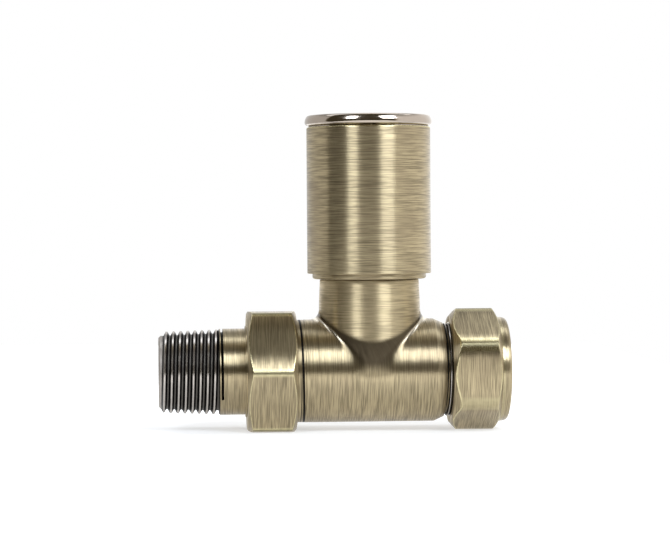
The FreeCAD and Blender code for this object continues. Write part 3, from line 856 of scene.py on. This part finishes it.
class VALVE_OT_union_nut(bpy.types.Operator):
    """Union nut: hexagon coned at both ends, with a raised ring round the tail"""

    bl_idname = "valve.make_union_nut"
    bl_label = "Union nut"

    def execute(self, context):
        sizes, tones = context.scene.valve_sizes, context.scene.valve_finish
        right = UNION_HIGH.x
        left = right - 12.6 * MM
        ring = UNION_LOW.x
        flats, face_r = 30.8 * MM, 14.85 * MM
        hole, boss, bore = 11.1 * MM, 11.7 * MM, 13.21 * MM
        shelf = left + 2.6 * MM
        turn, flat_share = math.radians(2.2), 0.35
        radius, turns = hexagon(flats, sizes.corner_round, turn, sizes.union_crown, flat_share)
        worn_corner, painted_corner_shade, flat_edge = (16.75, 17.1), (17.0, 17.1), (14.6, 14.9)

        def outline(angle):
            reach = radius(angle)
            cut = (reach - face_r) * CONE_SLOPE
            return [
                (ring, hole),
                (ring, boss, 0.1 * MM),
                (left, boss),
                (left, face_r, sizes.edge_round),
                (left + cut, reach, sizes.edge_round),
                (right - cut, reach, sizes.edge_round),
                (right, face_r, sizes.edge_round),
                (right, bore + 0.3 * MM),
                (right - 0.3 * MM, bore),
                (shelf, bore),
                (shelf, hole),
            ]

        def wear(board, x, y, z):
            reach = from_axis(y, z)
            corner = board.rise(reach, *worn_corner)
            near_left = (x - (left - SPINDLE) / MM) / CONE_SLOPE + face_r / MM - reach
            near_right = ((right - SPINDLE) / MM - x) / CONE_SLOPE + face_r / MM - reach
            edge = 1 - board.rise(near_left.least(near_right), *WORN_EDGE)
            return corner.most(edge * board.rise(reach, *flat_edge) * off_cone(board))

        # Painted shade: a dark line along the very corners
        def painted_shade(board, x, y, z):
            return 0.5 * board.rise(from_axis(y, z), *painted_corner_shade)

        piece = lathe("union_nut_hexagon", outline, turns, "run")
        brass = brushed_brass("union_nut_brass", tones, "run", 11.05, wear, painted_shade, flats=True)
        settle(piece, "union_nut", brass, ["union_nut"])
        return {"FINISHED"}


class VALVE_OT_compression_nut(bpy.types.Operator):
    """Compression nut: hexagon with a round collar over the pipe"""

    bl_idname = "valve.make_compression_nut"
    bl_label = "Compression nut"

    def execute(self, context):
        sizes, tones = context.scene.valve_sizes, context.scene.valve_finish
        left, right = PRESS_LOW.x, PRESS_HIGH.x
        collar = right - 2.4 * MM
        flats = 27.0 * MM
        corner = flats / math.sqrt(3)
        collar_r = flats / 2
        bore, pocket, pipe = 11.985 * MM, 9.27 * MM, 7.61 * MM
        step = left + 10.6 * MM
        cone_start, cone_end = left + 11.43 * MM, right - 1.05 * MM
        swell, turn, flat_share = 1.2 * MM, math.radians(27.9), 0.55
        radius, turns = hexagon(flats + swell, sizes.corner_round, turn, sizes.press_crown, flat_share)
        bevel, front_slope = 1.9 * MM, 0.92
        worn_corner, painted_corner_shade, flat_edge = (15.05, 15.4), (15.55, 15.65), (13.35, 13.6)

        def outline(angle):
            reach = radius(angle)
            front = max((reach - corner + bevel) * front_slope, 0.02 * MM)
            mouth = min(reach, corner - bevel)
            back = (reach - collar_r) * CONE_SLOPE
            return [
                (left, bore + 0.3 * MM),
                (left, mouth, sizes.edge_round),
                (left + front, reach, sizes.edge_round),
                (collar - back - 0.02 * MM, reach, sizes.edge_round),
                (collar, collar_r - 0.01 * MM),
                (collar + 0.05 * MM, collar_r - 0.02 * MM),
                (right, collar_r - 0.3 * MM, 1.4 * MM),
                (right, pipe, 0.2 * MM),
                (cone_end, pipe),
                (cone_start, pocket),
                (step, pocket),
                (step, bore),
                (left + 0.3 * MM, bore),
            ]

        def wear(board, x, y, z):
            reach = from_axis(y, z)
            ridge = board.rise(reach, *worn_corner) * (0.4 + 0.6 * board.rise(z, -4.0, 4.0))
            near_left = (corner - bevel) / MM + (x - (left - SPINDLE) / MM) / front_slope - reach
            near_right = ((collar - SPINDLE) / MM - x) / CONE_SLOPE + collar_r / MM - reach
            edge = 1 - board.rise(near_left.least(near_right), *WORN_EDGE)
            return ridge.most(edge * board.rise(reach, *flat_edge) * off_cone(board))

        # Painted shade: a dark line along the corners, on the upper half only
        def painted_shade(board, x, y, z):
            return 0.5 * board.rise(from_axis(y, z), *painted_corner_shade) * board.rise(z, 0.0, 4.0)

        piece = lathe("compression_nut_hexagon", outline, turns, "run")
        brass = brushed_brass("compression_nut_brass", tones, "run", 7.65, wear, painted_shade, flats=True)
        settle(piece, "compression_nut", brass, ["compression_nut"])
        return {"FINISHED"}


class VALVE_OT_knob(bpy.types.Operator):
    """Knob sleeve with its stepped rim, and the polished cap"""

    bl_idname = "valve.make_knob"
    bl_label = "Knob"

    def execute(self, context):
        sizes, tones = context.scene.valve_sizes, context.scene.valve_finish
        low, high = SLEEVE_LOW.z, SLEEVE_HIGH.z
        outer = (SLEEVE_HIGH.y - SLEEVE_LOW.y) / 2
        bore = outer - 3.25 * MM
        ledge, shelf = bore - 1.6 * MM, high - 4.5 * MM
        rim, step = outer - 1.3 * MM, low + 1.4 * MM

        def sleeve(angle):
            return [
                (low, bore, 0.2 * MM),
                (shelf, bore),
                (shelf, ledge),
                (high, ledge),
                (high, outer, 0.6 * MM),
                (step, outer, 0.25 * MM),
                (step, rim),
                (low, rim, 1.2 * MM),
            ]

        turns = even_turns(sizes.segments)
        piece = lathe("knob_sleeve_turned", sleeve, turns, "spindle")

        def wear(board, x, y, z):
            return board.rise(z, high / MM - 0.5, high / MM - 0.25)

        brass = brushed_brass("knob_brass", tones, "spindle", bore / MM + 0.05, wear)
        settle(piece, "knob", brass, ["knob_sleeve"])
        cap_r = (CAP_HIGH.y - CAP_LOW.y) / 2
        top = CAP_HIGH.z - 0.35 * MM
        stem = ledge - 0.03 * MM
        widest, bulge, drop = top - 1.8 * MM, 1.35 * MM, 1.0 * MM
        swell, edge, lean = 2.7 * MM, 0.785 * MM, math.radians(32)
        inset = cap_r - (swell - edge) * (1 - math.cos(lean)) - edge
        # Lip in three arcs: under the widest place, above it, and over the top edge
        lip = arc(widest, cap_r - bulge, drop, bulge, -math.pi / 2, 0)
        lip += arc(widest, cap_r - swell, swell, swell, 0, lean)[1:]
        lip += arc(top - edge, inset, edge, edge, lean, math.pi / 2)[1:]

        def cap(angle):
            return [
                (CAP_LOW.z, 0),
                (CAP_LOW.z, stem - 0.3 * MM),
                (CAP_LOW.z + 0.3 * MM, stem),
                (high, stem),
                (high, cap_r - bulge),
                *lip,
                (top, 0),
            ]

        piece = lathe("knob_cap_turned", cap, turns, "spindle")
        settle(piece, "knob", polished_brass("cap_polish", tones), ["knob_cap"])
        return {"FINISHED"}


class VALVE_OT_inside(bpy.types.Operator):
    """Finishes of the inner pieces, which keep their solids' shapes"""

    bl_idname = "valve.finish_inside"
    bl_label = "Inner pieces"

    def execute(self, context):
        tones = context.scene.valve_finish
        seal = shaded(tones.rubber, 1.6)
        finishes = {
            "plain_brass": plain_finish(
                "machined_brass", tones.raw, 0.7, metallic=1.0, rough=0.3, grain=3.0, depth=0.02
            ),
            "rubber": plain_finish(
                "seal_rubber", seal, 0.625, metallic=0.0, rough=0.55, grain=1.2, depth=0.02
            ),
            "fibre": plain_finish(
                "gasket_fibre", tones.fibre, 0.6, metallic=0.0, rough=0.8, grain=1.5, depth=0.05
            ),
            "insert_plastic": plain_finish(
                "insert_plastic", tones.plastic, 0.9, metallic=0.0, rough=0.45, grain=0.8, depth=0.01
            ),
            "screw_steel": plain_finish(
                "zinc_steel", tones.steel, 0.75, metallic=1.0, rough=0.32, grain=2.5, depth=0.015
            ),
        }
        for subpart in frame["record"]["subparts"]:
            material = finishes.get(subpart["material_slot"])
            if material:
                node = frame["nodes"][subpart["node"]]
                node.material_slots[0].material = material
        return {"FINISHED"}


class VALVE_OT_stage(bpy.types.Operator):
    """Pale floor, soft boxes, surrounding light and the camera"""

    bl_idname = "valve.make_stage"
    bl_label = "Stage"

    def execute(self, context):
        scene = context.scene
        tones = scene.valve_finish
        tilt = math.radians(0.4)
        self.floor(scene, tones, tilt)
        centre = Vector((SPINDLE, 0, 0.02))
        for box in SOFT_BOXES:
            self.soft_box(scene, centre, box)
        self.surround(scene)
        self.camera(scene, tilt)
        scene.view_settings.view_transform = "Standard"
        return {"FINISHED"}

    def floor(self, scene, tones, tilt):
        """Paper floor, tilted a little along the run, with a glow that keeps it near white, dimmed near
        the valve as a painted shadow.
        """
        rest_x, rest_z = UNION_LOW.x, -15.0 * MM
        west, east, front, back = -0.14, 0.12, -0.26, 0.4
        painted_shadow_glow, far_glow = (0.5, 0.5, 0.5), (0.95, 0.95, 0.95)
        corners = []
        for across, deep in ((west, front), (east, front), (east, back), (west, back)):
            corners.append((across, deep, rest_z - math.tan(tilt) * (across - rest_x)))
        mesh = bpy.data.meshes.new("floor")
        mesh.from_pydata(corners, [], [(0, 1, 2, 3)])
        floor = bpy.data.objects.new("floor", mesh)
        scene.collection.objects.link(floor)
        material, board = new_board("floor_paper")
        x, y, z = board.place((0, 0, 0))
        grain = board.noise(x * 0.05, y * 0.05, z * 0.05, 3.0)
        tint = board.mix(grain, shaded(tones.floor, 0.985), tones.floor)
        # Painted shadow: the floor's glow is weaker near the valve than farther off
        away = board.rise(abs(y), 18, 65)
        shine = board.mix(away, painted_shadow_glow, far_glow)
        paper = {"Base Color": tint, "Roughness": 0.9, "Emission Color": shine, "Emission Strength": 1.0}
        finish(board, paper)
        mesh.materials.append(material)

    def soft_box(self, scene, centre, box):
        """Rectangular light seen from the valve at an azimuth right of the camera and an elevation."""
        turn, lift = math.radians(box.azimuth), math.radians(box.elevation)
        level = math.cos(lift)
        way = Vector((math.sin(turn) * level, -math.cos(turn) * level, math.sin(lift)))
        light = bpy.data.lights.new(box.name, "AREA")
        light.shape = "RECTANGLE"
        light.size, light.size_y = box.width, box.height
        light.energy = box.glow * math.pi * box.width * box.height
        light.color = (0.93, 1.0, 1.10)
        lamp = bpy.data.objects.new(box.name, light)
        lamp.location = centre + way * box.distance
        lamp.rotation_euler = way.to_track_quat("Z", "Y").to_euler()
        lamp.visible_camera = False
        scene.collection.objects.link(lamp)

    def surround(self, scene):
        """Dim room in front, pale walls at the sides and behind, plain white for the camera."""
        room, ceiling, right_wall, left_wall = 0.085, 0.25, 1.25, 0.75
        warm, white = (1.0, 0.84, 0.52), (1.0, 1.0, 1.0)
        world = bpy.data.worlds.new("studio")
        world.use_nodes = True
        scene.world = world
        board = Board(world.node_tree)
        x, y, z = board.parts(board.add("ShaderNodeTexCoord", out="Generated"))
        turn = x.math("ARCTAN2", x, -y) * (180 / math.pi)
        right = board.rise(turn, 44, 52)
        left = board.rise(-turn, 85, 89)
        walls = (right_wall * right + left_wall * left) * (1 - 0.65 * board.rise(z, 0.45, 0.8))
        glow = room + walls + ceiling * board.rise(z, 0.90, 1.0)
        seen = board.add("ShaderNodeLightPath", out="Is Camera Ray")
        glow = glow + (1.0 - glow) * seen
        tint = board.mix(right.most(left).most(seen), warm, white)
        light = board.add("ShaderNodeBackground", {}, {"Color": tint, "Strength": glow})
        board.add("ShaderNodeOutputWorld", {}, {0: light})

    def camera(self, scene, tilt):
        """Long lens a little to the left and above, level with the knob, rolled with the floor."""
        yaw, pitch, distance = math.radians(3.8), math.radians(1.3), 0.591
        level = math.cos(pitch)
        ahead = Vector((math.sin(yaw) * level, math.cos(yaw) * level, -math.sin(pitch)))
        aim = Vector((SPINDLE - 8.8 * MM, 0, 25.6 * MM))
        right = ahead.cross(Vector((0, 0, 1))).normalized()
        up = right.cross(ahead)
        roll = Matrix.Rotation(tilt, 3, ahead)
        right, up = roll @ right, roll @ up
        lens = bpy.data.cameras.new("camera")
        lens.lens = 123.6
        lens.sensor_width = 36
        lens.clip_end = 20
        camera = bpy.data.objects.new("camera", lens)
        basis = Matrix((right, up, -ahead)).transposed().to_4x4()
        camera.matrix_world = Matrix.Translation(aim - ahead * distance) @ basis
        scene.collection.objects.link(camera)
        scene.camera = camera


class VALVE_PT_pieces(bpy.types.Panel):
    """Sidebar list of the valve's pieces"""

    bl_label = "Radiator valve"
    bl_idname = "VALVE_PT_pieces"
    bl_space_type = "VIEW_3D"
    bl_region_type = "UI"
    bl_category = "Valve"

    def draw(self, context):
        for operator in OPERATORS:
            self.layout.operator(operator.bl_idname)
        for group in (context.scene.valve_sizes, context.scene.valve_finish):
            for name in group.__annotations__:
                self.layout.prop(group, name)


OPERATORS = (
    VALVE_OT_tee,
    VALVE_OT_tail,
    VALVE_OT_union_nut,
    VALVE_OT_compression_nut,
    VALVE_OT_knob,
    VALVE_OT_inside,
    VALVE_OT_stage,
)
CLASSES = (ValveSizes, ValveFinish, *OPERATORS, VALVE_PT_pieces)


def register():
    """Registers the classes and puts the two groups on the scene."""
    for item in CLASSES:
        bpy.utils.register_class(item)
    bpy.types.Scene.valve_sizes = PointerProperty(type=ValveSizes)
    bpy.types.Scene.valve_finish = PointerProperty(type=ValveFinish)


def unregister():
    """Takes the groups and classes away again."""
    del bpy.types.Scene.valve_finish
    del bpy.types.Scene.valve_sizes
    for item in reversed(CLASSES):
        bpy.utils.unregister_class(item)


def main():
    """Makes every piece in order."""
    register()
    bpy.ops.valve.make_tee()
    bpy.ops.valve.make_tail()
    bpy.ops.valve.make_union_nut()
    bpy.ops.valve.make_compression_nut()
    bpy.ops.valve.make_knob()
    bpy.ops.valve.finish_inside()
    bpy.ops.valve.make_stage()


if __name__ == "__main__":
    main()
